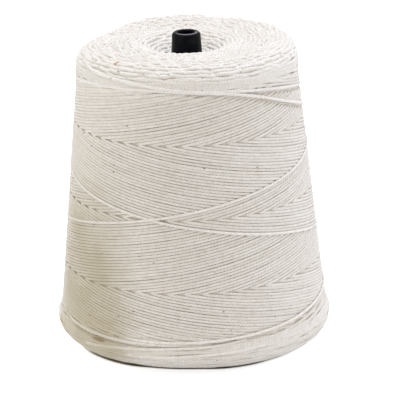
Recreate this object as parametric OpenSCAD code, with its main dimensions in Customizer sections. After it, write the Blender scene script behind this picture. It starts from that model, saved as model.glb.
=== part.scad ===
// A cone of cotton twine: one continuous thread, cross wound on a tapered moulded
// tube. The tube stands on its foot at z = 0, on the Z axis, nose up. Millimetres.
// The buried layers of thread are one plain core, and the outer layer is a single
// unbroken tube that runs up and down the core and crosses itself on the way.

/* [Tube] */

// Length of the tube, from its foot to its nose
tube_length = 170; // [168:1:190]
// Outside diameter of the tube at its nose
nose_d = 14.7; // [13.5:0.1:18]
// Taper of the tube's wall from its axis, in degrees
tube_taper = 3.5; // [3:0.05:4.2]
// Thickness of the tube's wall
tube_wall = 1.8; // [1.2:0.1:2.4]
// Diameter of the hole through the nose
nose_bore_d = 9; // [7.5:0.1:9.5]
// Length of the straight wall of that hole
nose_bore_length = 7; // [4:0.5:15]
// Rounding of the nose rim, outside
nose_round_out = 1.7; // [0.4:0.1:1.8]
// Rounding of the nose rim, at the hole
nose_round_in = 0.9; // [0.3:0.1:1]
// Chamfer round the foot
foot_chamfer = 0.5; // [0.2:0.1:0.9]

/* [Package] */

// Bare foot of the tube under the thread
foot_bare = 2.7; // [1:0.1:4]
// Height of the wound package
package_h = 163; // [150:1:164]
// Diameter of the straight flank, carried down to the underside
flank_d = 144.5; // [130:0.5:160]
// Taper of the flank from the axis, in degrees
flank_taper = 5.65; // [4:0.05:6.5]
// Width of the rounded shoulder at the base
base_shoulder_w = 24; // [14:0.5:28]
// Height of the rounded shoulder at the base
base_shoulder_h = 14.5; // [8:0.5:18]
// Width of the rounded shoulder at the top
top_shoulder_w = 11; // [7:0.5:15]
// Height of the rounded shoulder at the top
top_shoulder_h = 8; // [5:0.5:12]
// How far the bead of turns above the base stands out
bead_out = 1.5; // [0:0.1:2.5]
// Height of that bead over the underside
bead_z = 15.5; // [12:0.5:20]
// Half the width of that bead
bead_w = 3.5; // [2:0.1:5]
// Diameter of the hollow round the nose
crater_d = 54; // [36:1:60]
// Depth of the hollow at the tube
crater_depth = 9.5; // [6:0.5:12]
// How far the top dips from its shoulder to the lip of the hollow
crown_dish = 1; // [0:0.5:3]

/* [Thread] */

// Diameter of the thread
thread_d = 1.6; // [1.2:0.05:1.8]
// Double traverses in the outer layer
double_traverses = 6; // [2, 3, 4, 6]
// Height of the lower turning plane over the underside
turn_z_base = 8.4; // [7:0.1:14]
// Depth of the upper turning plane under the top
turn_z_top = 1.8; // [1:0.1:8]

/* [Fits] */

// Clearance between the tube and the thread wound on it
tube_fit = 0.1; // [0.05:0.05:0.2]
// Clearance between the outer layer and the core
seat_gap = 0.15; // [0.1:0.05:0.3]
// Clearance where one turn passes over another
crossing_gap = 0.45; // [0.42:0.01:0.6]
// How far the crossings stand proud of the package's mean surface
crossing_rise = 0.5; // [0:0.1:1]

/* [Hidden] */

// Steps of the round stretches of an outline
arc_step = 10;
revolve_facets = 120;

// Rings of the thread: 24 a turn, and a traverse is two turns less its share of the
// shift that lays each double traverse beside the one before it.
rings_per_turn = 24;
thread_sides = 6;
ring_angle = 360 / rings_per_turn;
turns_per_traverse = 2;
crossing_step = rings_per_turn / (2 * double_traverses);
traverse_rings = turns_per_traverse * rings_per_turn - crossing_step;
shift_angle = 360 / double_traverses;
// The last traverse stops this many rings short, so that the two ends lie apart
free_end_rings = 3;
// Rings over which the thread turns back at the end of a traverse
turn_rings = 2;
// Points to each ring step where the gap between turns is measured
gap_samples = 4;

thread_r = thread_d / 2;
chord_sag = flank_d / 2 * (1 - cos(ring_angle / 2));
seat = seat_gap + chord_sag + thread_r;
crossing_lift = thread_d + crossing_gap;
core_inset = seat + crossing_lift + thread_r - crossing_rise;
z_turn_low = turn_z_base;
z_turn_high = package_h - turn_z_top;

// ---- The tube ----

function tube_r(z) = nose_d / 2 + (tube_length - z) * tan(tube_taper);

bore_top = tube_length - nose_round_in;
bore_bottom = bore_top - nose_bore_length;
hollow_top = bore_bottom - (tube_r(bore_bottom) - tube_wall - nose_bore_d / 2);

function arc(centre, r, from, to) =
    [for (i = [0 : (to - from) / arc_step]) let (a = from + i * arc_step)
        centre + r * [cos(a), sin(a)]];

tube_outline = concat(
    [[tube_r(0) - tube_wall, 0], [tube_r(0) - foot_chamfer, 0], [tube_r(foot_chamfer), foot_chamfer]],
    arc([tube_r(tube_length - nose_round_out) - nose_round_out, tube_length - nose_round_out],
        nose_round_out, 0, 90),
    arc([nose_bore_d / 2 + nose_round_in, bore_top], nose_round_in, 90, 180),
    [[nose_bore_d / 2, bore_bottom], [tube_r(hollow_top) - tube_wall, hollow_top]]);

// Tapered plastic tube with a rounded nose, a hole through it and a hollow inside
module cone_tube() {
    color([0.07, 0.07, 0.08])
    rotate_extrude($fn = revolve_facets)
        polygon(tube_outline);
}

// ---- The package ----

function bead(z) = bead_out * exp(-pow((z - bead_z) / bead_w, 2));
function flank_r(z) = flank_d / 2 - z * tan(flank_taper);

base_flat_r = flank_r(base_shoulder_h) - base_shoulder_w;
top_flank_z = package_h - top_shoulder_h;
top_flat_r = flank_r(top_flank_z) - top_shoulder_w;

// Radius of the package's mean surface at a height over its underside
function package_r(z) = bead(z) + (
    z < base_shoulder_h
        ? base_flat_r + base_shoulder_w * sqrt(1 - pow(1 - z / base_shoulder_h, 2))
    : z > top_flank_z
        ? top_flat_r + top_shoulder_w * sqrt(1 - pow((z - top_flank_z) / top_shoulder_h, 2))
    : flank_r(z));
function core_r(z) = package_r(z) - core_inset;

// Heights where the core's outline needs a point: its two shoulders and the bead
shoulder_angles = [0 : arc_step : 90];
bead_points = 8;
bead_top = bead_z + 2.5 * bead_w;
core_heights = concat(
    [for (a = shoulder_angles) base_shoulder_h * (1 - cos(a))],
    [for (i = [1 : bead_points]) base_shoulder_h + (bead_top - base_shoulder_h) * i / bead_points],
    [for (a = shoulder_angles) top_flank_z + top_shoulder_h * sin(a)]);

// The hollow round the nose is a dish from its lip down to the tube
hole_r_under = tube_r(foot_bare) + tube_fit;
crater_floor = package_h - crater_depth;
hole_r_top = tube_r(foot_bare + crater_floor) + tube_fit;
crater_points = 8;
crater_outline = [for (i = [0 : crater_points]) let (t = i / crater_points)
    [crater_d / 2 + (hole_r_top - crater_d / 2) * t,
     package_h - crown_dish - (crater_depth - crown_dish) * (1 - cos(180 * t)) / 2]];

// Buried layers of thread, down to the tube
module wound_core() {
    color([0.84, 0.81, 0.76])
    translate([0, 0, foot_bare])
    rotate_extrude($fn = revolve_facets)
        polygon(concat([for (z = core_heights) [core_r(z), z]], crater_outline, [[hole_r_under, 0]]));
}

// ---- The outer layer of thread ----

// Share of a traverse's height reached at ring k, rounded at both turning planes
function rise(k) =
    k < turn_rings ? (k * k / turn_rings + turn_rings) / 2
    : k > traverse_rings - turn_rings
        ? traverse_rings - (pow(traverse_rings - k, 2) / turn_rings + turn_rings) / 2
    : k;
function course_z(k) = z_turn_low + (z_turn_high - z_turn_low) * rise(k) / traverse_rings;

// Up-course i meets down-course (i + m) modulo the count at each crossing ring. The
// one laid later passes over: an up-course if its number is higher, a down-course if
// its number is the same or higher.
function crossing(k) = (traverse_rings - k) % crossing_step == 0 && k > 0 && k < traverse_rings;
function meets(k) = ((traverse_rings - k) / crossing_step) % double_traverses;
function over(course, k, up) =
    let (other = (course + (up ? meets(k) : double_traverses - meets(k))) % double_traverses)
    up ? course > other : course >= other;
// Between two crossings that it passes over, the thread stays up
function raised(course, k, up) =
    let (below = floor((k - traverse_rings) / crossing_step) * crossing_step + traverse_rings,
         above = ceil((k - traverse_rings) / crossing_step) * crossing_step + traverse_rings)
    crossing(below) && crossing(above) && over(course, below, up) && over(course, above, up);

// Surface normal of the core, and a point at a height off that surface
function core_normal(z) =
    let (d = 0.05, n = [2 * d, core_r(z - d) - core_r(z + d)]) n / norm(n);
function off_core(z, angle, height) =
    let (p = [core_r(z), z] + height * core_normal(z))
    [p[0] * cos(angle), p[0] * sin(angle), p[1] + foot_bare];

function ring_point(course, k, up) =
    off_core(course_z(k),
        -course * shift_angle + (up ? k : 2 * traverse_rings - k) * ring_angle,
        seat + (raised(course, k, up) ? crossing_lift : 0));

route = [for (course = [0 : double_traverses - 1], up = [true, false])
    let (last = !up && course == double_traverses - 1)
    for (i = [0 : traverse_rings - 1 - (last ? free_end_rings : 0)])
        ring_point(course, up ? i : traverse_rings - i, up)];
ring_count = len(route);

function unit(v) = v / norm(v);
function tangent(i) =
    unit(route[min(i + 1, ring_count - 1)] - route[max(i - 1, 0)]);
function thread_ring(i) =
    let (t = tangent(i),
         out = [route[i][0], route[i][1], 0],
         n = unit(out - (out * t) * t),
         b = cross(t, n))
    [for (s = [0 : thread_sides - 1]) let (a = 360 / thread_sides * s)
        route[i] + thread_r * (cos(a) * n + sin(a) * b)];

function corner(i, s) = i * thread_sides + s % thread_sides;
thread_points = [for (i = [0 : ring_count - 1]) each thread_ring(i)];
thread_faces = concat(
    [for (i = [0 : ring_count - 2], s = [0 : thread_sides - 1])
        [corner(i, s), corner(i + 1, s + 1), corner(i, s + 1)]],
    [for (i = [0 : ring_count - 2], s = [0 : thread_sides - 1])
        [corner(i, s), corner(i + 1, s), corner(i + 1, s + 1)]],
    [for (s = [1 : thread_sides - 2]) [corner(0, 0), corner(0, s), corner(0, s + 1)]],
    [for (s = [1 : thread_sides - 2])
        [corner(ring_count - 1, 0), corner(ring_count - 1, s + 1), corner(ring_count - 1, s)]]);

// Least gap between turns, measured on points of the centre line that share an angle
function route_at(step) =
    let (i = floor(step / gap_samples), t = step / gap_samples - i)
    i + 1 < ring_count ? route[i] * (1 - t) + route[i + 1] * t : route[i];
steps_per_turn = rings_per_turn * gap_samples;
last_step = (ring_count - 1) * gap_samples;
least_gap = min([for (step = [0 : last_step])
    let (here = route_at(step))
    for (other = [step + steps_per_turn : steps_per_turn : last_step])
        norm(here - route_at(other))]) - thread_d;

// One unbroken thread, wound up and down the core
module outer_winding() {
    echo(str("Least gap between turns, in mm: ", least_gap));
    color([0.93, 0.91, 0.87])
    polyhedron(points = thread_points, faces = thread_faces);
}

cone_tube();
wound_core();
outer_winding();
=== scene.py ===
"""A cone of cotton twine: one thread, cross wound on a black moulded cone tube.

The winding is laid course by course, as the winder lays it. Every course and every
turn-back is a route over the package's mean surface, and a height field of what lies
there already lifts each new stretch over the thread under it. The stretches that end
up buried are left out, and a Geometry Nodes tree sweeps the thread along the rest.

Lengths are in millimetres until a mesh is made, and Blender's are metres. A place on
the package is an angle, counted in columns or degrees, and an arc length s along its
outline, from the tube at the foot, over the flank, to the tube at the top. The front
of the package is at -90 degrees.
"""
import math

import bpy
import numpy as np
from mathutils import Matrix, Vector


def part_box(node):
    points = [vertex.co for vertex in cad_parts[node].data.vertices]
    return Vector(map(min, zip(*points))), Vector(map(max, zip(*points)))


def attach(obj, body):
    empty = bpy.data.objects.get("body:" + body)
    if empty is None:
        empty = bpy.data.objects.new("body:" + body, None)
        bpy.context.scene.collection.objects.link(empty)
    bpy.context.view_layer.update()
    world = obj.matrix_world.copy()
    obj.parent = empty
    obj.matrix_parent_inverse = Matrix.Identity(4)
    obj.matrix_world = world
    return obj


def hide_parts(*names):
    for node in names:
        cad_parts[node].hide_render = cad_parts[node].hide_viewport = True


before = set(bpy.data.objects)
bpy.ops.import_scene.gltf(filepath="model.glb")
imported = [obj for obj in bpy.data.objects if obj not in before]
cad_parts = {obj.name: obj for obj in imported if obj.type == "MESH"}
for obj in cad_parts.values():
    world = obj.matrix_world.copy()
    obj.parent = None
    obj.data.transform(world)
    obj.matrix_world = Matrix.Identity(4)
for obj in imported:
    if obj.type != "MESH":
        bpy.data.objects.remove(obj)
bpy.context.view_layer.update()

MM = 0.001


# ---- Sizes of the package, in mm ----

def box_mm(node):
    """The lowest and the highest corner of a CAD node."""
    return [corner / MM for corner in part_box(node)]


TUBE_LENGTH = box_mm("cone_tube")[1].z
UNDERSIDE = box_mm("wound_core")[0].z
PACKAGE_H = box_mm("wound_core")[1].z - UNDERSIDE

NOSE_R = 7.35
TUBE_TAPER = math.radians(3.5)
FLANK_R = 72.25
FLANK_TAPER = math.radians(5.65)
BASE_SHOULDER_W = 24.0
BASE_SHOULDER_H = 14.5
TOP_SHOULDER_W = 11.0
TOP_SHOULDER_H = 8.0
# The bead of turns above the base: how far it stands out, where, and half its width
BEAD_OUT = 1.35
BEAD_Z = 12.5
BEAD_W = 4.8
CROWN_DISH = 1.0
CRATER_R = 27.0
CRATER_DEPTH = 9.5

# The base and the crown aren't even: how far each is drawn up, as (degrees, mm) pairs,
# the height over which that eases out, and the radii over which the crown's eases in
BASE_RISE = [(0, 1.2), (90, 1.2), (180, 2.2), (195, 2.4), (212, 0.9), (228, 1.5),
             (240, 1.8), (270, 2.0), (300, 0.6), (320, -0.4), (340, -1.5)]
CROWN_RISE = [(-15, 0.3), (10, 1.6), (30, 1.5), (45, 0.9), (60, 0.95), (72, 0.3), (85, 1.6),
              (95, 1.7), (105, 1.3), (116, 1.1), (124, 0.6), (132, -0.5), (141, -1.5),
              (151, -2.3), (160, -1.7), (170, -1.1), (180, -0.6), (205, 0.0), (300, 0.0)]
RISE_HEIGHT = 24.0
CROWN_RISE_RADII = (25.0, 50.0)

# How many points each part of the outline gets
UNDER_POINTS = 60
SHOULDER_POINTS = 60
FLANK_POINTS = 300
CROWN_POINTS = 40
CRATER_POINTS = 50

THREAD_R = 0.8
# Pressed into the package, the thread is a little wider than it is thick
PRESS = (0.955, 1.045, 1.0)


def share(values, start, end):
    """How far values are on the way from start to end, from 0 to 1."""
    return np.clip((values - start) / (end - start), 0.0, 1.0)


def eased(values, start, end):
    """The same with a soft start and a soft end."""
    part = share(values, start, end)
    return part * part * (3.0 - 2.0 * part)


def tube_r(z):
    """Outside radius of the tube at a height over the package's underside."""
    return NOSE_R + (TUBE_LENGTH - UNDERSIDE - z) * math.tan(TUBE_TAPER)


def flank_r(z):
    """Radius of the straight flank at a height over the underside."""
    return FLANK_R - z * math.tan(FLANK_TAPER)


def package_outline():
    """The mean surface from the tube's foot, over both shoulders, to the tube at the top."""
    base_flat = flank_r(BASE_SHOULDER_H) - BASE_SHOULDER_W
    top_z = PACKAGE_H - TOP_SHOULDER_H
    top_flat = flank_r(top_z) - TOP_SHOULDER_W
    quarter = np.radians(np.linspace(0, 90, SHOULDER_POINTS))
    under = [(r, 0.0) for r in np.linspace(tube_r(0), base_flat, UNDER_POINTS)[:-1]]
    base = [(base_flat + BASE_SHOULDER_W * math.sin(a),
             BASE_SHOULDER_H * (1 - math.cos(a))) for a in quarter]
    flank = [(flank_r(z), z)
             for z in np.linspace(BASE_SHOULDER_H, top_z, FLANK_POINTS)[1:-1]]
    top = [(top_flat + TOP_SHOULDER_W * math.cos(a),
            top_z + TOP_SHOULDER_H * math.sin(a)) for a in quarter]
    crown = [(top_flat + (CRATER_R - top_flat) * t, PACKAGE_H - CROWN_DISH * t)
             for t in np.linspace(0, 1, CROWN_POINTS)[1:-1]]
    rim_r = tube_r(PACKAGE_H - CRATER_DEPTH)
    dip = (CRATER_DEPTH - CROWN_DISH) / 2
    crater = [(CRATER_R + (rim_r - CRATER_R) * t,
               PACKAGE_H - CROWN_DISH - dip * (1 - math.cos(math.pi * t)))
              for t in np.linspace(0, 1, CRATER_POINTS)]
    points = np.array(under + base + flank + top + crown + crater)
    beaded = (points[:, 0] > base_flat) & (points[:, 1] < PACKAGE_H / 2)
    bead = BEAD_OUT * np.exp(-((points[:, 1] - BEAD_Z) / BEAD_W) ** 2)
    points[:, 0] += np.where(beaded, bead, 0.0)
    return points


OUTLINE = package_outline()
STEP_LENGTHS = np.linalg.norm(np.diff(OUTLINE, axis=0), axis=1)
OUTLINE_S = np.concatenate([[0.0], np.cumsum(STEP_LENGTHS)])
S_END = OUTLINE_S[-1]
SLOPES = np.gradient(OUTLINE, OUTLINE_S, axis=0)
# The outline runs anticlockwise in (r, z), so outwards is to the right of its direction
NORMALS = np.column_stack([SLOPES[:, 1], -SLOPES[:, 0]])
NORMALS /= np.linalg.norm(NORMALS, axis=1)[:, None]
CREST = int(OUTLINE[:, 1].argmax())


def outline_at(s):
    """Radius, height and outward normal of the mean surface at arc length s."""
    return [np.interp(s, OUTLINE_S, values)
            for values in (OUTLINE[:, 0], OUTLINE[:, 1], NORMALS[:, 0], NORMALS[:, 1])]


def s_of_height(z):
    """Arc length of the side of the package at a height over its underside."""
    return np.interp(z, OUTLINE[:CREST + 1, 1], OUTLINE_S[:CREST + 1])


def uneven(angle, r, z):
    """How far a place on the package is drawn up from the even outline."""
    degrees = np.degrees(angle)
    base = np.interp(degrees, *zip(*BASE_RISE), period=360.0)
    crown = np.interp(degrees, *zip(*CROWN_RISE), period=360.0)
    at_crown = eased(PACKAGE_H - z, RISE_HEIGHT, 0.0) * eased(r, *CROWN_RISE_RADII)
    return base * eased(z, RISE_HEIGHT, 0.0) + crown * at_crown


# ---- What lies on the surface: a height field over angle and arc length ----

COLUMNS = 1920
COLUMN = 2 * math.pi / COLUMNS
# Arc length of a cell of the field, the cells round its middle that a thread can touch,
# and how far to either side it bears on them
CELL = 0.35
ROWS = int(S_END / CELL) + 8
FOOTPRINT = range(-2, 3)
PRESSED_R = 0.6
# Height of what the first thread lies on, and of a thread's centre when its outer side
# is level with the mean surface. Pulled tight, a thread keeps this part of what it would
# stand over that level.
BED = -2.6
TOP_LEVEL = -THREAD_R
SQUASH = 0.3
# A thread shows where it is buried no deeper than this
SHOWS_WITHIN = 0.12
# Lower than anything that lies on the package
NOWHERE = -99.0

laid = np.full((COLUMNS, ROWS), BED, np.float32)


def smooth(values, reach):
    """Running mean over 2 * reach + 1 samples, with the ends held."""
    padded = np.pad(values, reach, mode="edge")
    kernel = np.ones(2 * reach + 1) / (2 * reach + 1)
    return np.convolve(padded, kernel, mode="valid")


def widest(values, reach):
    """Running maximum: a taut thread bridges what it rides on."""
    padded = np.pad(values, reach, mode="edge")
    windows = np.lib.stride_tricks.sliding_window_view(padded, 2 * reach + 1)
    return windows.max(axis=1)


def footprint_cells(s):
    """The cells under a thread: each one's row, the thread's half height, and if it bears."""
    base = np.round(s / CELL).astype(int)
    for step in FOOTPRINT:
        cell = np.clip(base + step, 0, ROWS - 1)
        off = cell * CELL - s
        yield cell, np.sqrt(np.maximum(THREAD_R ** 2 - off ** 2, 0.0)), np.abs(off) <= PRESSED_R


def lay(route, floor_level=None, headroom=0.0, bridge=4, ease=6):
    """Lays a stretch of thread on what is there, and returns its centre heights."""
    col = route["cols"] % COLUMNS
    rest = np.full(len(col), BED + THREAD_R)
    for cell, lift, bears in footprint_cells(route["s"]):
        rest = np.maximum(rest, np.where(bears, laid[col, cell] + lift, NOWHERE))
    rest = smooth(smooth(widest(rest, bridge), ease), ease)
    rest = np.where(rest > TOP_LEVEL, TOP_LEVEL + SQUASH * (rest - TOP_LEVEL), rest)
    if floor_level is not None:
        rest = np.clip(rest, floor_level, floor_level + headroom)
    for cell, lift, bears in footprint_cells(route["s"]):
        top = np.where(bears, rest + lift, NOWHERE)
        np.maximum.at(laid, (col, cell), top.astype(np.float32))
    return rest


def shows(route):
    """True where something of the thread's outer side isn't buried."""
    col = route["cols"] % COLUMNS
    seen = np.zeros(len(col), bool)
    for cell, lift, bears in footprint_cells(route["s"]):
        seen |= bears & (laid[col, cell] <= route["height"] + lift + SHOWS_WITHIN)
    return seen


# ---- The routes ----

rng = np.random.default_rng(41)

# Cross winding: how far the thread climbs in one turn, and how many double traverses
# lie side by side before the pattern closes. Two turns make a traverse.
LEAD = 76.4
COURSES = 48
SHIFT = COLUMNS // COURSES
CLIMB = LEAD / COLUMNS
TRAVERSE = 2 * COLUMNS
# The newest up-course and down-course cross on the front at this height and angle
CROSS_Z = 84.8
CROSS_DEGREES = -109.0
CROSS_COLUMN = round(math.radians(CROSS_DEGREES) / COLUMN)
# How many columns the newest course is longer at each end
NEWEST_OVERLAP = 160

GOLDEN_PART = 0.618034

# How many radians the turn into the next traverse takes to either side of its apex: the
# range that the courses vary in, and the newest course's two lower turns and upper one
LOW_TURN = (0.9, 1.6)
TOP_TURN = (1.0, 1.55)
NEWEST_TURNS = (2.0, 1.75, 1.65)

# A course doesn't lie dead straight: its offset, its drift, and the columns it drifts over
COURSE_OFFSET = 0.035
COURSE_DRIFT = 0.045
DRIFT_COLUMNS = 90

# A height on the straight flank, and the arc lengths at which the zones of turn-backs end
MID_FLANK_Z = 80.0
S_CROWN = float(s_of_height(156.0))
S_TOP_EDGE = float(s_of_height(152.0))
S_BASE_EDGE = float(s_of_height(18.0))
S_UNDERSIDE = float(s_of_height(1.0))

# Turn-backs lie a little under the mean surface. The least that one reaches to either
# side of its middle, and how far they all stay from the tube.
TURN_LEVEL = TOP_LEVEL - 0.1
TURN_REACH = 4.0
TUBE_MARGIN = 0.4
# How they vary: along the row in parts of the space between two, in how far they reach,
# and across the row in mm, for the whole of one and for its ends
ALONG_ROW = (-0.18, 0.18)
REACH_VARIES = (0.85, 1.2)
ACROSS_ROW = 0.3
ENDS_STRAY = 0.25

# The last of the thread, as (degrees, arc length) pairs: off the top shoulder, down
# across the front and tucked in
LOOSE_END = [(-190, 213.0), (-175, 209.5), (-153, 204.2), (-143, 202.6), (-126, 201.9),
             (-109, 200.1), (-89, 197.9), (-68, 195.4), (-51, 191.2), (-37, 186.2),
             (-13, 178.2), (30, 165.0), (70, 155.0)]
# Late turn-backs over the base shoulder, the same three times round the package
BASE_ARCS = [[(-150, 58.5), (-132, 60.8), (-122, 62.0), (-113, 63.0), (-102, 64.2),
              (-92, 64.8), (-81, 65.5), (-73, 66.5), (-60, 68.0)],
             [(-128, 58.4), (-113, 59.0), (-100, 59.5), (-88, 60.5), (-78, 61.0),
              (-71, 61.5), (-61, 62.0), (-48, 62.6)]]
BASE_ARC_TURNS = (-120.0, 120.0, 0.0)
BASE_ARC_ID = 60


def s_line(z):
    """Arc length of the straight flank, carried on past the shoulders."""
    return s_of_height(MID_FLANK_Z) + (z - MID_FLANK_Z) / math.cos(FLANK_TAPER)


def turn_back(columns_from_apex, spread):
    """Arc length lost to the rounded turn at the end of a traverse."""
    x = np.minimum(np.abs(columns_from_apex), spread)
    return CLIMB * (x * x / (2 * spread) + spread / 2 - x)


def wander(count, reach, size):
    """A slow random sideways drift along a thread."""
    knots = rng.normal(0.0, size, count // reach + 3)
    return np.interp(np.arange(count) / reach, np.arange(len(knots)), knots)


def golden(k):
    """Numbers between 0 and 1 that differ well from one k to the next."""
    return (GOLDEN_PART * k) % 1.0


def columns_in(radians):
    return radians / (2 * math.pi) * COLUMNS


def spread_columns(k, low, high):
    return columns_in(low + (high - low) * golden(k))


def winding_routes():
    """The outer layer in the order it was laid: each double traverse up and down."""
    low_s = s_line(CROSS_Z - LEAD)
    half_shift = SHIFT // 2
    routes = []
    for k in range(COURSES):
        start = CROSS_COLUMN + (COURSES - 1 - k) * SHIFT
        if k == COURSES - 1:
            over = NEWEST_OVERLAP
            low_turn, next_low_turn, top_turn = (columns_in(turn) for turn in NEWEST_TURNS)
        else:
            over = 0
            low_turn = spread_columns(k, *LOW_TURN)
            next_low_turn = spread_columns(k + 1, *LOW_TURN)
            top_turn = spread_columns(k + 0.37, *TOP_TURN)
        cols = np.arange(start + half_shift - over, start + 2 * TRAVERSE - half_shift + over)
        x = np.clip(cols - start, half_shift, 2 * TRAVERSE - half_shift)
        up = np.minimum(x, 2 * TRAVERSE - x)
        s = low_s + up * CLIMB / math.cos(FLANK_TAPER)
        s += turn_back(x - half_shift, low_turn)
        s += turn_back(x - (2 * TRAVERSE - half_shift), next_low_turn)
        s -= turn_back(x - TRAVERSE, top_turn)
        s += rng.normal(0.0, COURSE_OFFSET) + wander(len(s), DRIFT_COLUMNS, COURSE_DRIFT)
        routes.append({"cols": cols, "s": s, "id": k})
    return routes


def turn_rows(s_from, s_to, row_step, grains, reach, slant, drop, relief, thick=1.0):
    """Rows of turn-backs of the buried layers, each an arc that surfaces and dives.

    Grains is how many turn-backs a row has. Reach is how far one runs to either side of
    its middle, as a part of the space between two. Slant is the mean and the spread of
    its angle in degrees, drop how deep its ends dive, and relief how much levels vary.
    """
    routes = []
    for row_s in np.arange(s_from, s_to, row_step if s_to > s_from else -row_step):
        r = float(outline_at(row_s)[0])
        space = COLUMNS / grains
        first = rng.uniform(0, COLUMNS)
        for i in range(grains):
            centre = first - (i + rng.uniform(*ALONG_ROW)) * space
            half = max(reach * space, TURN_REACH / r / COLUMN) * rng.uniform(*REACH_VARIES)
            cols = np.arange(int(centre - half), int(centre + half) + 1)
            t = (cols - centre) / half
            tilt = math.tan(math.radians(rng.normal(*slant)))
            s = row_s + rng.normal(0, ACROSS_ROW) + tilt * (cols - centre) * COLUMN * r
            s = np.clip(s + rng.normal(0, ENDS_STRAY) * t * t, TUBE_MARGIN, S_END - TUBE_MARGIN)
            level = TURN_LEVEL + np.clip(rng.normal(0, relief), -2 * relief, 2 * relief)
            routes.append({"cols": cols, "s": s, "floor": level - drop * t * t,
                           "thick": thick, "id": rng.integers(1 << 20)})
    return routes


def strand(pairs, rounding, turned=0.0, **finish):
    """A route through (degrees, arc length) pairs, turned round the package."""
    degrees, s = np.array(pairs, float).T
    angles = np.radians(degrees + turned)
    cols = np.arange(int(angles[0] / COLUMN), int(angles[-1] / COLUMN))
    return {"cols": cols, "s": smooth(np.interp(cols * COLUMN, angles, s), rounding), **finish}


crown_turns = turn_rows(S_END - 1.0, S_CROWN, row_step=2.4, grains=48, reach=0.75,
                        slant=(-3.0, 5.0), drop=1.3, relief=0.10, thick=1.38)
shoulder_turns = turn_rows(S_CROWN, S_TOP_EDGE, row_step=1.85, grains=48, reach=0.95,
                           slant=(-1.0, 4.0), drop=1.4, relief=0.14, thick=1.08)
underside_turns = turn_rows(1.0, S_UNDERSIDE, row_step=1.6, grains=24, reach=1.6,
                            slant=(1.0, 1.3), drop=1.8, relief=0.08)
foot_turns = turn_rows(S_UNDERSIDE, S_BASE_EDGE, row_step=1.6, grains=24, reach=1.6,
                       slant=(1.0, 1.3), drop=1.6, relief=0.08)
courses = winding_routes()
newest = courses[-1]
# Painted highlight: a tone of 1, and 0.7 on the base arcs, makes the proud threads paler, as if
# they caught more light
newest.update(shade=1.0, proud=1.0)
end = strand(LOOSE_END, 40, thick=1.06, shade=1.0, proud=1.0, id=COURSES)
# A whole turn is added, so that no arc starts at a negative column
arcs = [strand(arc, 20, turned + 360.0, thick=1.0, shade=0.7, proud=0.8, id=BASE_ARC_ID + n)
        for turned in BASE_ARC_TURNS for n, arc in enumerate(BASE_ARCS)]


# ---- Laying the thread: what is older lies lower ----

# How far the newest course and the loose end lie off their neighbours, and the part of
# that which they lose at the package's two sides
NEWEST_SLACK = 0.28
END_SLACK = 0.5
LOST_AT_SIDES = 0.7
# Where the newest course comes looser toward the base, how loose, and the base arcs' slack
BASE_SLACK_S = (82.0, 72.0)
BASE_SLACK = 0.5
ARC_SLACK = 0.5
# How deep the ends of a loose stretch are tucked in, and over how many columns
TUCK_DEPTH = 3.0
END_TUCK = 300
ARC_TUCK = 90
# The degrees on the newest course over which its last turn at the base goes under an
# older one and comes out again, and how deep it goes
BURIED_FROM = (-230.0, -215.0)
BURIED_TO = (-147.0, -159.0)
BURIED_DEPTH = 1.4
# The newest course presses a groove below the one arc length and above the other
NEWEST_LOW_S = 88.0
NEWEST_HIGH_S = 176.0
# How far below the thread that presses it a groove runs, how wide it is, and the degrees
# over which it starts and ends
GROOVE_OFF = 1.7
GROOVE_WIDTH = 0.75
GROOVE_STARTS = 25.0
GROOVE_ENDS = 30.0


def slack_kept(route):
    """The part of its slack that a loose stretch keeps, less at the package's two sides."""
    return 1.0 - LOST_AT_SIDES * np.cos(route["cols"] * COLUMN) ** 8


def gone_under(route):
    """Where the last turn at the base went under an older one, from 0 to 1."""
    from_crossing = route["cols"] - route["cols"][-1] + NEWEST_OVERLAP
    degrees = np.degrees(from_crossing * COLUMN) + CROSS_DEGREES
    return eased(degrees, *BURIED_FROM) * eased(degrees, *BURIED_TO)


def tucked(route, reach):
    """Both ends of a loose stretch go down between the turns under it."""
    count = len(route["cols"])
    i = np.arange(count)
    return TUCK_DEPTH * (share(i, reach, 0) ** 2 + share(count - 1 - i, reach, 0) ** 2)


def part_of(route, keep):
    return {key: route[key][keep] for key in ("cols", "s")}


def groove_below(route, proud, depth, begins=-360.0, ends=360.0):
    """How far a thread sinks where one that stands proud runs just above it."""
    path = np.full(COLUMNS, np.nan)
    path[proud["cols"] % COLUMNS] = proud["s"]
    off = path[route["cols"] % COLUMNS] - route["s"]
    groove = depth * np.nan_to_num(np.exp(-((off - GROOVE_OFF) / GROOVE_WIDTH) ** 2))
    degrees = (np.degrees(route["cols"] * COLUMN) + 180.0) % 360.0 - 180.0
    groove *= eased(degrees, begins, begins + GROOVE_STARTS)
    return groove * eased(degrees, ends, ends - GROOVE_ENDS)


for route in crown_turns + shoulder_turns + underside_turns + foot_turns:
    route["height"] = lay(route, route["floor"], headroom=0.8, bridge=3, ease=4)
for route in courses:
    route["height"] = lay(route)
newest["height"] += NEWEST_SLACK * slack_kept(newest)
newest["height"] += BASE_SLACK * share(newest["s"], *BASE_SLACK_S)
newest["height"] -= tucked(newest, NEWEST_OVERLAP)
newest["height"] -= BURIED_DEPTH * gone_under(newest)
end["height"] = lay(end) + END_SLACK * slack_kept(end) - tucked(end, END_TUCK)
for route in arcs:
    route["height"] = lay(route) + ARC_SLACK - tucked(route, ARC_TUCK)

newest_low = part_of(newest, (newest["s"] < NEWEST_LOW_S) & (gone_under(newest) < 0.05))
newest_high = part_of(newest, newest["s"] > NEWEST_HIGH_S)
for route in courses[:-1] + foot_turns + shoulder_turns:
    route["sunk"] = (groove_below(route, newest_low, 0.9, ends=-40.0)
                     + groove_below(route, newest_high, 0.8, begins=-100.0)
                     + groove_below(route, end, 0.7, begins=-135.0))


# ---- From routes to runs of points ----

# A thread this far under the level of the top gets all the painted brown shade of the buried
# threads
DEEP = 1.4
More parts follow.
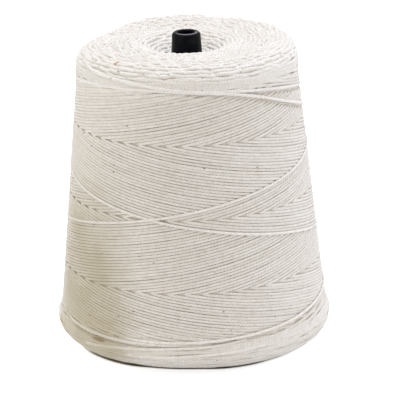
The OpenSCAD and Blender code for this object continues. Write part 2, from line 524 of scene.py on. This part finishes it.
# A run of this many samples or fewer is left out
SHORTEST_RUN = 12
# The thread's thickness as a part of its nominal one, and how much fuller it lies at the
# two sides, and over these arc lengths at the top, at the upper left and the lower right
THICKNESS = 0.975
FULLER = 0.10
FULLER_TOP_S = (186.0, 196.0)
FULLER_LEFT_S = (160.0, 180.0)
FULLER_RIGHT_S = (92.0, 82.0)
FULLER_RIGHT = 0.12
# How many metres further along the thread the next route starts
START_STEP = 0.137


def place(cols, s, height):
    """Points in metres and outward normals of route samples."""
    r, z, nr, nz = outline_at(s)
    angle = cols * COLUMN
    radius = r + nr * height
    points = np.column_stack([radius * np.cos(angle), radius * np.sin(angle),
                              UNDERSIDE + z + nz * height + uneven(angle, r, z)])
    facing = np.column_stack([nr * np.cos(angle), nr * np.sin(angle), nz])
    return points * MM, facing


def visible_runs(route, margin):
    """Stretches of a route that show, with a little more at each end."""
    seen = widest(shows(route).astype(float), margin) > 0
    edges = np.flatnonzero(np.diff(np.concatenate([[0], seen.astype(int), [0]])))
    for a, b in zip(edges[::2], edges[1::2]):
        if b - a > SHORTEST_RUN:
            yield a, b


def fullness(cols, s):
    """How thick the thread lies, as a part of its nominal thickness."""
    right = np.cos(cols * COLUMN)
    full = THICKNESS + FULLER * right ** 2
    full += FULLER * share(s, *FULLER_TOP_S)
    full += FULLER * share(s, *FULLER_LEFT_S) * np.clip(-right, 0.0, 1.0)
    full += FULLER_RIGHT * share(s, *FULLER_RIGHT_S) * np.clip(right, 0.0, 1.0) ** 2
    return full


def run_of(route, a, b, step):
    """Samples of one visible run, with how far along the thread each one is."""
    pick = np.unique(np.append(np.arange(a, b, step), b - 1))
    cols, s, height = (route[key][pick] for key in ("cols", "s", "height"))
    if "sunk" in route:
        height = height - route["sunk"][pick]
    points, facing = place(cols, s, height)
    gaps = np.linalg.norm(np.diff(points, axis=0), axis=1)
    along = np.concatenate([[0.0], np.cumsum(gaps)]) + (route["id"] * START_STEP) % 1.0
    # A few percent thicker and thinner, again and again along the thread
    slubs = 0.04 * np.sin(along * 190.0 + route["id"]) + 0.03 * np.sin(along * 71.0)
    return {"points": points, "facing": facing, "along": along,
            "thick": route.get("thick", fullness(cols, s)) * (1.0 + slubs),
            "shade": np.full(len(pick), route.get("shade", 0.6 * golden(route["id"]))),
            "deep": share(height, TOP_LEVEL, TOP_LEVEL - DEEP),
            "proud": np.full(len(pick), route.get("proud", 0.0))}


# ---- The thread tree: sweeps the thread along a mesh of edges ----

def socket(tree, name, kind, way="INPUT", default=None):
    item = tree.interface.new_socket(name, in_out=way, socket_type=kind)
    if default is not None:
        item.default_value = default


def thread_tree():
    tree = bpy.data.node_groups.new("Lay thread", "GeometryNodeTree")
    socket(tree, "Routes", "NodeSocketGeometry")
    socket(tree, "Thread radius", "NodeSocketFloat", default=THREAD_R * MM)
    socket(tree, "Sides", "NodeSocketInt", default=8)
    socket(tree, "Material", "NodeSocketMaterial")
    socket(tree, "Thread", "NodeSocketGeometry", way="OUTPUT")
    nodes, links = tree.nodes, tree.links

    def add(kind, **settings):
        node = nodes.new(kind)
        for key, value in settings.items():
            setattr(node, key, value)
        return node

    def named(name, data_type):
        node = add("GeometryNodeInputNamedAttribute", data_type=data_type)
        node.inputs["Name"].default_value = name
        return node.outputs["Attribute"]

    given = add("NodeGroupInput")
    made = add("NodeGroupOutput")
    curves = add("GeometryNodeMeshToCurve")
    links.new(given.outputs["Routes"], curves.inputs["Mesh"])
    facing = add("GeometryNodeSetCurveNormal", mode="FREE")
    links.new(curves.outputs["Curve"], facing.inputs["Curve"])
    links.new(named("facing", "FLOAT_VECTOR"), facing.inputs["Normal"])
    thick = add("ShaderNodeMath", operation="MULTIPLY")
    links.new(named("thick", "FLOAT"), thick.inputs[0])
    links.new(given.outputs["Thread radius"], thick.inputs[1])

    ring = add("GeometryNodeCurvePrimitiveCircle")
    ring.inputs["Radius"].default_value = 1.0
    links.new(given.outputs["Sides"], ring.inputs["Resolution"])
    press = add("GeometryNodeTransform")
    press.inputs["Scale"].default_value = PRESS
    links.new(ring.outputs["Curve"], press.inputs["Geometry"])
    around = add("GeometryNodeCaptureAttribute")
    around.capture_items.new("FLOAT", "around")
    links.new(press.outputs["Geometry"], around.inputs["Geometry"])
    links.new(add("GeometryNodeSplineParameter").outputs["Factor"], around.inputs["around"])

    sweep = add("GeometryNodeCurveToMesh")
    sweep.inputs["Fill Caps"].default_value = True
    links.new(facing.outputs["Curve"], sweep.inputs["Curve"])
    links.new(thick.outputs[0], sweep.inputs["Scale"])
    links.new(around.outputs["Geometry"], sweep.inputs["Profile Curve"])

    # The last face round the thread ends at 1, not back at 0
    mean = add("GeometryNodeFieldOnDomain", domain="FACE", data_type="FLOAT")
    links.new(around.outputs["around"], mean.inputs["Value"])
    behind = add("ShaderNodeMath", operation="SUBTRACT")
    links.new(mean.outputs["Value"], behind.inputs[0])
    links.new(around.outputs["around"], behind.inputs[1])
    wraps = add("ShaderNodeMath", operation="GREATER_THAN")
    wraps.inputs[1].default_value = 0.3
    links.new(behind.outputs[0], wraps.inputs[0])
    turn = add("ShaderNodeMath", operation="ADD")
    links.new(around.outputs["around"], turn.inputs[0])
    links.new(wraps.outputs[0], turn.inputs[1])
    uv = add("ShaderNodeCombineXYZ")
    links.new(named("along", "FLOAT"), uv.inputs["X"])
    links.new(turn.outputs[0], uv.inputs["Y"])
    store = add("GeometryNodeStoreNamedAttribute", data_type="FLOAT2", domain="CORNER")
    store.inputs["Name"].default_value = "thread_uv"
    links.new(sweep.outputs["Mesh"], store.inputs["Geometry"])
    links.new(uv.outputs[0], store.inputs["Value"])

    soft = add("GeometryNodeSetShadeSmooth")
    real = add("GeometryNodeRealizeInstances")
    finish = add("GeometryNodeSetMaterial")
    links.new(store.outputs["Geometry"], soft.inputs["Geometry"])
    links.new(soft.outputs["Geometry"], real.inputs["Geometry"])
    links.new(real.outputs["Geometry"], finish.inputs["Geometry"])
    links.new(given.outputs["Material"], finish.inputs["Material"])
    links.new(finish.outputs["Geometry"], made.inputs["Thread"])
    return tree


def route_mesh(name, runs):
    """The runs as chains of edges, with what the thread tree reads at each point."""
    points = np.concatenate([run["points"] for run in runs])
    starts = np.cumsum([0] + [len(run["points"]) for run in runs])
    edges = np.concatenate([np.column_stack([np.arange(a, b - 1), np.arange(a + 1, b)])
                            for a, b in zip(starts[:-1], starts[1:])])
    mesh = bpy.data.meshes.new(name)
    mesh.vertices.add(len(points))
    mesh.vertices.foreach_set("co", points.astype(np.float32).ravel())
    mesh.edges.add(len(edges))
    mesh.edges.foreach_set("vertices", edges.astype(np.int32).ravel())
    facing = mesh.attributes.new("facing", "FLOAT_VECTOR", "POINT")
    facing.data.foreach_set("vector", np.concatenate(
        [run["facing"] for run in runs]).astype(np.float32).ravel())
    for key in ("along", "thick", "shade", "deep", "proud"):
        layer = mesh.attributes.new(key, "FLOAT", "POINT")
        layer.data.foreach_set("value", np.concatenate(
            [run[key] for run in runs]).astype(np.float32))
    mesh.update()
    return mesh


def sweep_thread(name, runs, tree, material, sides):
    """The plain mesh of the thread that the tree sweeps along a list of runs."""
    carrier = bpy.data.objects.new(name + "_carrier", route_mesh(name + "_routes", runs))
    bpy.context.scene.collection.objects.link(carrier)
    modifier = carrier.modifiers.new("Lay thread", "NODES")
    modifier.node_group = tree
    wanted = {"Sides": sides, "Material": material}
    for item in tree.interface.items_tree:
        if item.item_type == "SOCKET" and item.name in wanted:
            modifier[item.identifier] = wanted[item.name]
    depsgraph = bpy.context.evaluated_depsgraph_get()
    made = bpy.data.meshes.new_from_object(
        carrier.evaluated_get(depsgraph), preserve_all_data_layers=True, depsgraph=depsgraph)
    made.name = name
    bpy.data.objects.remove(carrier)
    return made


# ---- Shader helpers: each adds a node and gives back its output ----

def math_node(tree, operation, *values):
    node = tree.nodes.new("ShaderNodeMath")
    node.operation = operation
    for index, value in enumerate(values):
        if isinstance(value, (int, float)):
            node.inputs[index].default_value = value
        else:
            tree.links.new(value, node.inputs[index])
    return node.outputs[0]


def times(tree, *values):
    product = values[0]
    for value in values[1:]:
        product = math_node(tree, "MULTIPLY", product, value)
    return product


def one_minus(tree, value):
    """Where a mask isn't."""
    return math_node(tree, "SUBTRACT", 1.0, value)


def vector_math(tree, operation, vector, other=None):
    node = tree.nodes.new("ShaderNodeVectorMath")
    node.operation = operation
    tree.links.new(vector, node.inputs[0])
    if other is not None:
        node.inputs[1].default_value = other
    return node.outputs["Value" if operation in ("LENGTH", "DOT_PRODUCT") else "Vector"]


def length(tree, vector, stretch):
    """Length of a vector whose parts are stretched first."""
    return vector_math(tree, "LENGTH", vector_math(tree, "MULTIPLY", vector, stretch))


def split(tree, vector):
    node = tree.nodes.new("ShaderNodeSeparateXYZ")
    tree.links.new(vector, node.inputs[0])
    return node.outputs


def mix_color(tree, factor, a, b):
    node = tree.nodes.new("ShaderNodeMix")
    node.data_type = "RGBA"
    for key, value in (("Factor", factor), ("A", a), ("B", b)):
        target = next(s for s in node.inputs if s.name == key and s.enabled)
        if isinstance(value, (float, tuple)):
            target.default_value = value
        else:
            tree.links.new(value, target)
    return next(s for s in node.outputs if s.enabled)


def noise(tree, vector, scale, detail=3.0, rough=0.55):
    node = tree.nodes.new("ShaderNodeTexNoise")
    node.inputs["Scale"].default_value = scale
    node.inputs["Detail"].default_value = detail
    node.inputs["Roughness"].default_value = rough
    tree.links.new(vector, node.inputs["Vector"])
    return node.outputs["Fac"]


def ramp(tree, value, low, high):
    """A soft step from 0 at low to 1 at high."""
    node = tree.nodes.new("ShaderNodeMapRange")
    node.interpolation_type = "SMOOTHSTEP"
    node.inputs["From Min"].default_value = low
    node.inputs["From Max"].default_value = high
    tree.links.new(value, node.inputs["Value"])
    return node.outputs["Result"]


def levels(tree, value, pairs):
    """Follows a list of (value, level) pairs, with a soft step from one to the next."""
    level = pairs[0][1]
    for (low, before), (high, after) in zip(pairs, pairs[1:]):
        if after != before:
            step = times(tree, ramp(tree, value, low, high), after - before)
            level = math_node(tree, "ADD", step, level)
    return level


def object_place(tree):
    return tree.nodes.new("ShaderNodeTexCoord").outputs["Object"]


def attribute(tree, name):
    node = tree.nodes.new("ShaderNodeAttribute")
    node.attribute_name = name
    return node.outputs["Fac"]


def bump(tree, shader, height, strength, distance):
    node = tree.nodes.new("ShaderNodeBump")
    node.inputs["Strength"].default_value = strength
    node.inputs["Distance"].default_value = distance
    tree.links.new(height, node.inputs["Height"])
    tree.links.new(node.outputs["Normal"], shader.inputs["Normal"])


def principled(name):
    material = bpy.data.materials.new(name)
    material.use_nodes = True
    tree = material.node_tree
    shader = next(n for n in tree.nodes if n.type == "BSDF_PRINCIPLED")
    return material, tree, shader


def shader_group(name, inputs, outputs):
    tree = bpy.data.node_groups.new(name, "ShaderNodeTree")
    for key, default in inputs.items():
        socket(tree, key, "NodeSocketFloat", default=default)
    for key in outputs:
        socket(tree, key, "NodeSocketFloat", way="OUTPUT")
    return tree, tree.nodes.new("NodeGroupInput"), tree.nodes.new("NodeGroupOutput")


def use_group(tree, group):
    node = tree.nodes.new("ShaderNodeGroup")
    node.node_tree = group
    return node.outputs


# ---- Cotton ----

CREAM = (0.755, 0.73, 0.70, 1.0)
PALE = (0.89, 0.875, 0.865, 1.0)
STRAW = (0.62, 0.565, 0.475, 1.0)
# Painted shade deep among the turns
BURIED_SHADE_TINT = (0.52, 0.43, 0.31, 1.0)
# Painted light on the crown
CROWN_LIGHT_TINT = (0.84, 0.83, 0.825, 1.0)
CRATER_TINT = (0.92, 0.885, 0.83, 1.0)
# Painted shade where the thread's sides meet its neighbours
CREVICE_SHADE_TINT = (0.42, 0.34, 0.24, 1.0)
# Painted shade on the lower-left side
SIDE_SHADE_TINT = (0.525, 0.475, 0.36, 1.0)
FLECK_TINT = (0.26, 0.17, 0.09, 1.0)

# Where the lower-left side faces that is painted darker and warmer, as shade
SHADED_SIDE_WAY = (-0.9135, -0.4067, 0.0)

# Stains in the cotton: the middle and the reach in metres, how many times lower than
# wide, how strong, and the tint
STAINS = [((-0.0359, -0.0379, 0.1640), 0.0017, 1.5, 1.0, (0.36, 0.17, 0.04, 1.0)),
          ((0.0475, -0.0255, 0.1625), 0.0014, 1.5, 0.6, (0.45, 0.33, 0.20, 1.0)),
          ((-0.0497, -0.0514, 0.0203), 0.0065, 6.0, 0.8, (0.25, 0.18, 0.08, 1.0)),
          ((-0.0712, -0.0160, 0.0160), 0.0045, 0.7, 0.7, (0.45, 0.29, 0.09, 1.0))]


def ply_group():
    """Three plies twisted together, the fibres that lie along them, and where painted shade goes
    between plies and on the thread's sides.
    """
    tree, given, made = shader_group(
        "Plied cotton", {"Plies": 3.0, "Twist length": 0.0055},
        ["Height", "Fibre", "Groove shade", "Crevice shade"])
    uv = tree.nodes.new("ShaderNodeUVMap")
    uv.uv_map = "thread_uv"
    at = split(tree, uv.outputs["UV"])
    turns = math_node(tree, "DIVIDE", at["X"], given.outputs["Twist length"])
    turned = math_node(tree, "ADD", at["Y"], turns)
    phase = times(tree, turned, given.outputs["Plies"], math.pi)
    wave = math_node(tree, "ABSOLUTE", math_node(tree, "SINE", phase))
    lobe = math_node(tree, "POWER", wave, 0.5)
    fibre_at = tree.nodes.new("ShaderNodeCombineXYZ")
    tree.links.new(times(tree, at["X"], 260.0), fibre_at.inputs["X"])
    tree.links.new(times(tree, turned, 14.0), fibre_at.inputs["Y"])
    fibre = noise(tree, fibre_at.outputs[0], 1.0, detail=3.0, rough=0.6)
    height = math_node(tree, "ADD", times(tree, lobe, 0.8), times(tree, fibre, 0.35))
    # 0 on the thread's outer side, 0.5 on its inner side
    inward = math_node(tree, "PINGPONG", at["Y"], 0.5)
    tree.links.new(height, made.inputs["Height"])
    tree.links.new(fibre, made.inputs["Fibre"])
    tree.links.new(one_minus(tree, lobe), made.inputs["Groove shade"])
    # Painted shade on the thread's sides, toward its neighbours
    tree.links.new(ramp(tree, inward, 0.12, 0.26), made.inputs["Crevice shade"])
    return tree


def spots_group():
    """Flecks of seed coat scattered through the cotton."""
    tree, given, made = shader_group(
        "Seed flecks", {"Cells": 260.0, "Share": 0.90, "Radius": 0.17}, ["Fleck"])
    cells = tree.nodes.new("ShaderNodeTexVoronoi")
    flatter = vector_math(tree, "MULTIPLY", object_place(tree), (1.0, 1.0, 1.5))
    tree.links.new(flatter, cells.inputs["Vector"])
    tree.links.new(given.outputs["Cells"], cells.inputs["Scale"])
    pick = tree.nodes.new("ShaderNodeSeparateColor")
    tree.links.new(cells.outputs["Color"], pick.inputs[0])
    chosen = math_node(tree, "GREATER_THAN", pick.outputs[0], given.outputs["Share"])
    near = tree.nodes.new("ShaderNodeMapRange")
    near.interpolation_type = "SMOOTHSTEP"
    near.inputs["To Min"].default_value = 1.0
    near.inputs["To Max"].default_value = 0.0
    tree.links.new(cells.outputs["Distance"], near.inputs["Value"])
    tree.links.new(times(tree, given.outputs["Radius"], 0.6), near.inputs["From Min"])
    tree.links.new(given.outputs["Radius"], near.inputs["From Max"])
    tree.links.new(times(tree, near.outputs["Result"], chosen), made.inputs["Fleck"])
    return tree


def shaded_side_group():
    """How much painted shade a place gets on the lower-left side of the package."""
    tree, _, made = shader_group("Shaded side", {}, ["Amount"])
    coord = object_place(tree)
    at = split(tree, coord)
    side = ramp(tree, vector_math(tree, "DOT_PRODUCT", coord, SHADED_SIDE_WAY), 0.048, 0.067)
    forward = ramp(tree, times(tree, at["Y"], -1.0), -0.002, 0.028)
    low = one_minus(tree, ramp(tree, at["Z"], 0.060, 0.127))
    patches = ramp(tree, noise(tree, coord, 55.0, detail=2.0), 0.35, 0.65)
    patches = times(tree, math_node(tree, "ADD", patches, 2.4), 0.345)
    tree.links.new(times(tree, side, forward, low, patches), made.inputs["Amount"])
    return tree


def yarn_color(tree, coord, plies):
    """Cream cotton with straw in it, a painted highlight on the proud threads and painted shade in
    grooves and deep down.
    """
    cloud = ramp(tree, noise(tree, coord, 22.0), 0.35, 0.75)
    mottle = ramp(tree, noise(tree, coord, 420.0, detail=2.0), 0.42, 0.70)
    streak = ramp(tree, plies["Fibre"], 0.5, 0.8)
    # A tone between cream and pale: random from thread to thread, and a painted highlight on the
    # proud threads
    color = mix_color(tree, attribute(tree, "shade"), CREAM, PALE)
    color = mix_color(tree, times(tree, cloud, 0.35), color, CREAM)
    color = mix_color(tree, times(tree, mottle, 0.35), color, STRAW)
    color = mix_color(tree, times(tree, streak, 0.35), color, STRAW)
    # Painted shade: the grooves between the plies are toned toward straw
    color = mix_color(tree, times(tree, plies["Groove shade"], 0.5), color, STRAW)
    # Painted shade: threads that lie deep between the turns are browned
    return mix_color(tree, times(tree, attribute(tree, "deep"), 0.45), color, BURIED_SHADE_TINT)


def cotton_material():
    material, tree, shader = principled("unbleached_cotton")
    coord = object_place(tree)
    plies = use_group(tree, ply_group())
    color = yarn_color(tree, coord, plies)

    # Painted light: the crown is paler, most of all outside the hollow, as its top catches more
    # light. The hollow is warmer
    on_top = ramp(tree, split(tree, coord)["Z"], 0.144, 0.158)
    from_axis = length(tree, coord, (1.0, 1.0, 0.0))
    outer = ramp(tree, from_axis, 0.044, 0.054)
    top_light = math_node(tree, "ADD", times(tree, outer, 0.22), 0.06)
    color = mix_color(tree, times(tree, on_top, top_light), color, CROWN_LIGHT_TINT)
    in_crater = one_minus(tree, ramp(tree, from_axis, 0.015, 0.032))
    color = mix_color(tree, times(tree, in_crater, 0.5), color, CRATER_TINT)

    # Painted shade: the thread is darker where its sides meet its neighbours, less so on the
    # crown, and unbroken along proud threads
    proud = attribute(tree, "proud")
    broken = ramp(tree, noise(tree, coord, 330.0, detail=2.0), 0.36, 0.60)
    broken = math_node(tree, "MAXIMUM", broken, proud)
    off_crown = one_minus(tree, times(tree, on_top, 0.75))
    crevice = times(tree, plies["Crevice shade"], broken, off_crown, 0.88)
    color = mix_color(tree, crevice, color, CREVICE_SHADE_TINT)

    # Painted shade darkens and warms the lower-left side, less on the proud threads that cross it
    spared_on_proud = one_minus(tree, times(tree, proud, 0.45))
    side_shade = times(tree, use_group(tree, shaded_side_group())["Amount"], spared_on_proud)
    color = mix_color(tree, side_shade, color, SIDE_SHADE_TINT)
    color = mix_color(tree, use_group(tree, spots_group())["Fleck"], color, FLECK_TINT)
    for middle, reach, flatness, strength, tint in STAINS:
        off = vector_math(tree, "SUBTRACT", coord, middle)
        away = length(tree, off, (1.0, 1.0, flatness))
        near = one_minus(tree, ramp(tree, away, reach * 0.5, reach))
        color = mix_color(tree, times(tree, near, strength), color, tint)

    roughness = math_node(tree, "ADD", times(tree, plies["Fibre"], 0.15), 0.8)
    tree.links.new(color, shader.inputs["Base Color"])
    tree.links.new(roughness, shader.inputs["Roughness"])
    shader.inputs["Sheen Weight"].default_value = 0.6
    shader.inputs["Sheen Roughness"].default_value = 0.5
    shader.inputs["Specular IOR Level"].default_value = 0.2
    bump(tree, shader, plies["Height"], strength=0.9, distance=0.0003)
    return material


# ---- Black plastic ----

BLACK = (0.002, 0.0025, 0.0035, 1.0)
WORN_BLACK = (0.013, 0.015, 0.020, 1.0)
RIM_HIGHLIGHT_GREY = (0.21, 0.21, 0.25, 1.0)
# Which way the painted highlight on the nose rim faces
RIM_HIGHLIGHT_WAY = (0.32, -0.95, 0.0)


def tube_material():
    material, tree, shader = principled("black_moulded_plastic")
    coord = object_place(tree)
    wear = ramp(tree, noise(tree, coord, 260.0, detail=4.0), 0.42, 0.70)
    color = mix_color(tree, times(tree, wear, 0.5), BLACK, WORN_BLACK)
    inside = one_minus(tree, ramp(tree, length(tree, coord, (1.0, 1.0, 0.0)), 0.0056, 0.0068))
    at_rim = ramp(tree, split(tree, coord)["Z"], 0.1688, 0.1697)
    toward = ramp(tree, vector_math(tree, "DOT_PRODUCT", coord, RIM_HIGHLIGHT_WAY), -0.002, 0.006)
    # Painted highlight: a grey band on the inner edge of the nose rim, toward the front
    color = mix_color(tree, times(tree, inside, at_rim, toward), color, RIM_HIGHLIGHT_GREY)
    roughness = math_node(tree, "ADD", times(tree, wear, 0.18), 0.30)
    tree.links.new(color, shader.inputs["Base Color"])
    tree.links.new(roughness, shader.inputs["Roughness"])
    shader.inputs["Specular IOR Level"].default_value = 0.05
    bump(tree, shader, noise(tree, coord, 900.0, detail=2.0), strength=0.25, distance=0.0001)
    return material


# ---- Pieces ----

cotton = cotton_material()
lay_thread = thread_tree()

# How deep the skin lies under the mean surface, as (arc length, mm) pairs
SKIN_DEPTH = [(58.0, -0.9), (63.0, -0.55), (66.0, -0.36), (72.0, -0.28), (75.0, -0.60),
              (80.0, -0.92), (S_TOP_EDGE, -0.92), (S_CROWN + 4.0, -0.6)]
SKIN_RINGS = 220
SKIN_FACETS = 128


def package_piece(name, mesh):
    """A piece of the package: it rides with the root."""
    piece = bpy.data.objects.new(name, mesh)
    bpy.context.scene.collection.objects.link(piece)
    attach(piece, "root")
    return piece


def thread_piece(name, routes, step, margin=5, sides=8):
    """All that shows of some routes, sampled every few columns."""
    runs = [run_of(route, a, b, step) for route in routes for a, b in visible_runs(route, margin)]
    return package_piece(name, sweep_thread(name, runs, lay_thread, cotton, sides))


def under_skin():
    """What the outer threads lie on, seen only in the gaps between them."""
    s = np.linspace(0, S_END, SKIN_RINGS)
    r, z, nr, nz = outline_at(s)
    depth = np.interp(s, *zip(*SKIN_DEPTH))
    angles = np.arange(SKIN_FACETS) * 2 * math.pi / SKIN_FACETS
    verts = [(rr * math.cos(a) * MM, rr * math.sin(a) * MM,
              (UNDERSIDE + zz + uneven(a, rr, zz)) * MM)
             for rr, zz in zip(r + nr * depth, z + nz * depth) for a in angles]
    faces = []
    # Past its last ring, the skin closes along the tube back to its first one
    for ring in range(SKIN_RINGS):
        here = ring * SKIN_FACETS
        there = (ring + 1) % SKIN_RINGS * SKIN_FACETS
        for j in range(SKIN_FACETS):
            k = (j + 1) % SKIN_FACETS
            faces.append((here + j, here + k, there + k, there + j))
    mesh = bpy.data.meshes.new("buried_layers")
    mesh.from_pydata(verts, [], faces)
    mesh.materials.append(cotton)
    mesh.shade_smooth()
    return package_piece("buried_layers", mesh)


BATCHES = 4
batch = COURSES // BATCHES
pieces = [thread_piece(f"thread_courses_{n + 1}", courses[n * batch:(n + 1) * batch],
                       step=8, margin=10) for n in range(BATCHES)]
thread_piece("loose_end", [end], step=5, margin=10, sides=10)
thread_piece("base_arcs", arcs, step=5, margin=10)
half_crown = len(crown_turns) // 2
thread_piece("crater_turns", crown_turns[:half_crown], step=8)
thread_piece("crown_turns", crown_turns[half_crown:], step=6)
thread_piece("shoulder_turns", shoulder_turns, step=6)
thread_piece("underside_turns", underside_turns, step=12, sides=6)
thread_piece("foot_turns", foot_turns, step=8)

skin = under_skin()
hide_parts("wound_core")
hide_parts("outer_winding")

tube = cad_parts["cone_tube"]
tube.data.materials.clear()
tube.data.materials.append(tube_material())


# ---- Floor, light and camera ----

PAPER = (0.9, 0.9, 0.9, 1.0)
GAP_SHADOW_BROWN = (0.34, 0.28, 0.19, 1.0)
PAPER_GLOW = 0.8
FLOOR_HALF = 4.0
# The gap under the package, where the paper doesn't glow and its front is painted dark as shadow:
# its oval is round once squeezed by this, it reaches as far as the (x, reach) pairs in metres,
# and its edge is this soft to either side
GAP_SQUEEZE = (0.785, 1.0, 1.0)
GAP_REACH = [(-0.060, 0.0470), (-0.048, 0.0463), (-0.034, 0.0463), (-0.022, 0.0453),
             (-0.002, 0.0453), (0.018, 0.0475), (0.028, 0.0474), (0.042, 0.0464)]
GAP_SOFT = 0.0011

CAMERA_ELEVATION = math.radians(17.78)
CAMERA_ROLL = math.radians(-1.56)
CAMERA_DISTANCE = 1.45
CAMERA_TARGET = Vector((0.0048, 0.0, 0.0781))
CAMERA_LENS = 246.7

# Lamps: the name, the place, the diameter, the power and the colour
LAMP_TARGET = Vector((0.0, 0.0, 0.08))
LAMPS = [("overhead", (0.15, 0.25, 1.8), 1.6, 27.1, (0.773, 0.843, 1.0)),
         ("left side", (-1.5, -0.1, 0.35), 1.2, 4.4, (0.953, 1.0, 0.87)),
         ("right side", (1.5, -0.1, 0.35), 1.2, 4.9, (0.762, 0.862, 1.0))]
WORLD_COLOR = (1.0, 0.924, 0.824, 1.0)
WORLD_STRENGTH = 0.752


def paper_material():
    """White paper that glows to the camera, but not under the package, where its front has a
    painted shadow.
    """
    material, tree, shader = principled("white_paper")
    tree.nodes.remove(shader)
    out = next(n for n in tree.nodes if n.type == "OUTPUT_MATERIAL")
    diffuse = tree.nodes.new("ShaderNodeBsdfDiffuse")
    glow = tree.nodes.new("ShaderNodeEmission")
    path = tree.nodes.new("ShaderNodeLightPath")
    rays = math_node(tree, "MAXIMUM", path.outputs["Is Camera Ray"], path.outputs["Is Glossy Ray"])
    rays = math_node(tree, "MAXIMUM", rays, path.outputs["Is Transmission Ray"])

    coord = object_place(tree)
    at = split(tree, coord)
    past_gap = math_node(tree, "SUBTRACT", length(tree, coord, GAP_SQUEEZE),
                         levels(tree, at["X"], GAP_REACH))
    clear = math_node(tree, "MAXIMUM", ramp(tree, past_gap, -GAP_SOFT, GAP_SOFT),
                      ramp(tree, at["X"], 0.040, 0.054))
    front = ramp(tree, times(tree, at["Y"], -1.0), -0.010, 0.010)
    # Painted shadow: in front, the paper under the package is brown
    paper = mix_color(tree, times(tree, one_minus(tree, clear), front), PAPER, GAP_SHADOW_BROWN)
    both = tree.nodes.new("ShaderNodeAddShader")
    tree.links.new(paper, diffuse.inputs["Color"])
    tree.links.new(times(tree, rays, clear, PAPER_GLOW), glow.inputs["Strength"])
    tree.links.new(diffuse.outputs[0], both.inputs[0])
    tree.links.new(glow.outputs[0], both.inputs[1])
    tree.links.new(both.outputs[0], out.inputs["Surface"])
    return material


def floor():
    mesh = bpy.data.meshes.new("floor")
    mesh.from_pydata([(x * FLOOR_HALF, y * FLOOR_HALF, 0)
                      for x, y in ((-1, -1), (1, -1), (1, 1), (-1, 1))], [], [(0, 1, 2, 3)])
    mesh.materials.append(paper_material())
    plane = bpy.data.objects.new("floor", mesh)
    bpy.context.scene.collection.objects.link(plane)


def soft_light(name, place_at, size, power, color):
    lamp = bpy.data.lights.new(name, "AREA")
    lamp.shape = "DISK"
    lamp.size = size
    lamp.energy = power
    lamp.color = color
    light = bpy.data.objects.new(name, lamp)
    light.location = place_at
    light.rotation_euler = (LAMP_TARGET - Vector(place_at)).to_track_quat("-Z", "Y").to_euler()
    bpy.context.scene.collection.objects.link(light)


def studio_world():
    world = bpy.data.worlds.new("studio")
    bpy.context.scene.world = world
    world.use_nodes = True
    background = world.node_tree.nodes["Background"]
    background.inputs["Color"].default_value = WORLD_COLOR
    background.inputs["Strength"].default_value = WORLD_STRENGTH


def camera():
    back = Vector((0.0, -math.cos(CAMERA_ELEVATION), math.sin(CAMERA_ELEVATION)))
    level_up = Vector((0.0, math.sin(CAMERA_ELEVATION), math.cos(CAMERA_ELEVATION)))
    level_right = Vector((1.0, 0.0, 0.0))
    right = math.cos(CAMERA_ROLL) * level_right + math.sin(CAMERA_ROLL) * level_up
    up = math.cos(CAMERA_ROLL) * level_up - math.sin(CAMERA_ROLL) * level_right
    data = bpy.data.cameras.new("camera")
    data.sensor_width = 36.0
    data.lens = CAMERA_LENS
    data.clip_end = 20.0
    seen = bpy.data.objects.new("camera", data)
    seen.matrix_world = Matrix(((right.x, up.x, back.x, 0.0), (right.y, up.y, back.y, 0.0),
                                (right.z, up.z, back.z, 0.0), (0.0, 0.0, 0.0, 1.0)))
    seen.location = CAMERA_TARGET + back * CAMERA_DISTANCE
    bpy.context.scene.collection.objects.link(seen)
    bpy.context.scene.camera = seen


floor()
for lamp_settings in LAMPS:
    soft_light(*lamp_settings)
studio_world()
camera()
bpy.context.scene.view_settings.view_transform = "Standard"
